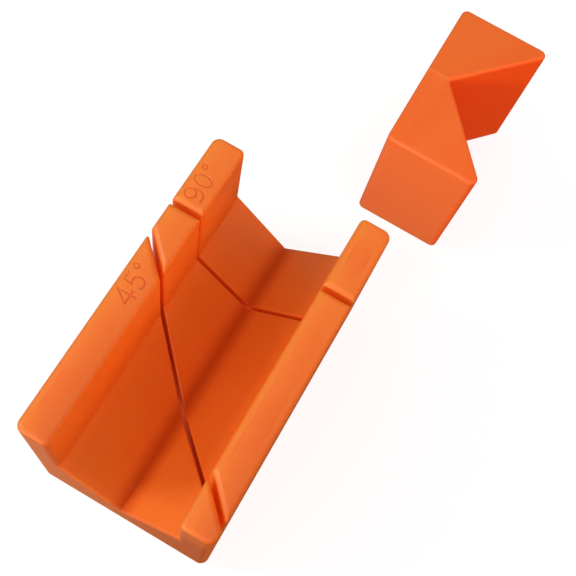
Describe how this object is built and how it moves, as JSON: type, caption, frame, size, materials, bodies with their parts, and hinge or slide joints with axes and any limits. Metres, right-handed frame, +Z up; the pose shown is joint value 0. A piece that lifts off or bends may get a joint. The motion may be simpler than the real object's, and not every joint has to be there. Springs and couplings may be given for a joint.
{
  "type": "mitre box",
  "caption": "Plastic mitre box with a V-shaped bed, crossed by one square and one diagonal saw slot, with a loose V-notched block standing beside it.",
  "frame": {"origin": "centre of the mitre box's underside", "axes": "+Y along the channel from the near end to the far end, +X towards the right-hand wall, +Z up"},
  "size_m": [0.1095, 0.2911, 0.095],
  "materials": {
    "box_plastic": "satin moulded orange plastic",
    "block_plastic": "satin moulded orange plastic"
  },
  "bodies": {
    "mitre_box": {"mitre_box": "box_plastic"},
    "v_block": {"v_block": "block_plastic"}
  },
  "joints": [
    {"name": "v_block_lift", "type": "slide", "parent": "mitre_box", "child": "v_block", "axis": [0, 0, 1], "range_m": [0, 0.12]}
  ]
}
